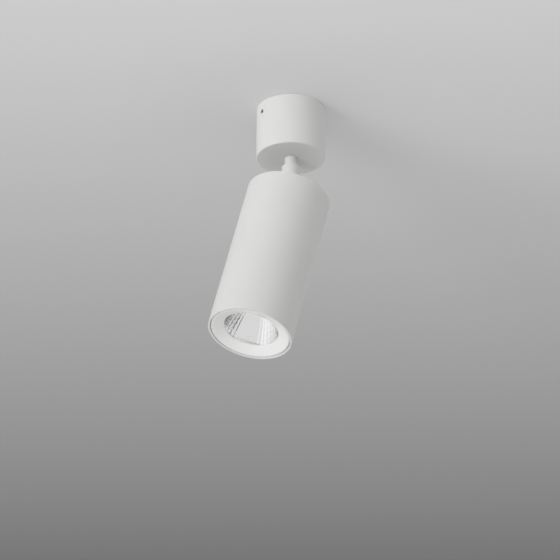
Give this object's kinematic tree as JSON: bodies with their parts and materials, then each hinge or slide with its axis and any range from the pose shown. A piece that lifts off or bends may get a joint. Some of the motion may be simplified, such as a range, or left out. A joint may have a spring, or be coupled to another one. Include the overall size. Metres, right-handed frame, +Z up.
{
  "type": "surface mounted ceiling spotlight",
  "caption": "White tubular spotlight on a round ceiling canopy, with a swivel stem, a tilting knuckle joint, a conical trim ring and a faceted reflector.",
  "frame": {"origin": "centre of the canopy on the ceiling, between the bracket's two slots", "axes": "+Z up into the ceiling, -X the way the head leans, +Y along the tilt axis"},
  "size_m": [0.1277, 0.085, 0.2782],
  "materials": {
    "white_coat": "fine matt white powder coat",
    "zinc_steel": "zinc plated steel",
    "brass": "plain turned brass",
    "nylon": "natural moulded nylon",
    "bare_aluminium": "bare machined aluminium",
    "reflector_mirror": "bright faceted mirror",
    "driver_plastic": "white moulded housing",
    "board_white": "white ceramic board",
    "phosphor_yellow": "yellow phosphor layer",
    "dark_rubber": "dark elastomer"
  },
  "bodies": {
    "ceiling_fixture": {"ceiling_bracket": "zinc_steel", "canopy": "white_coat", "canopy_grub_screws": "zinc_steel", "earth_washer": "zinc_steel", "earth_screw": "zinc_steel", "terminal_block": "nylon", "terminal_inserts": "brass", "terminal_screws": "zinc_steel", "block_screws": "zinc_steel", "swivel_bush": "nylon", "stop_pin": "zinc_steel"},
    "swivel_stem": {"hollow_nipple": "brass", "neck_sleeve": "white_coat", "stop_washer": "zinc_steel", "spring_washer": "zinc_steel", "stem_nut": "zinc_steel", "nipple_bush": "nylon", "knuckle_barrel": "white_coat", "barrel_grub_screw": "zinc_steel"},
    "spot_head": {"tilt_tongue": "white_coat", "friction_washers": "nylon", "pivot_screws": "zinc_steel", "tongue_lock_washer": "zinc_steel", "tongue_nut": "zinc_steel", "tail_bush": "nylon", "head_tube": "white_coat", "head_cap": "white_coat", "cap_screws": "zinc_steel", "tie_rods": "zinc_steel", "heat_sink": "bare_aluminium", "driver_plate": "bare_aluminium", "driver_case": "driver_plastic", "driver_screws": "zinc_steel", "thermal_pad": "dark_rubber", "led_board": "board_white", "led_phosphor": "phosphor_yellow", "led_holder": "nylon", "holder_screws": "zinc_steel", "reflector": "reflector_mirror", "trim_ring": "white_coat", "grip_ring": "dark_rubber"}
  },
  "joints": [
    {"name": "stem_swivel", "type": "hinge", "parent": "ceiling_fixture", "child": "swivel_stem", "pos_m": [0, 0, -0.0515], "axis": [0, 0, 1], "range_deg": [-175, 175]},
    {"name": "head_tilt", "type": "hinge", "parent": "swivel_stem", "child": "spot_head", "pos_m": [0, 0, -0.0915], "axis": [0, 1, 0], "range_deg": [-15.5, 44.5]}
  ]
}
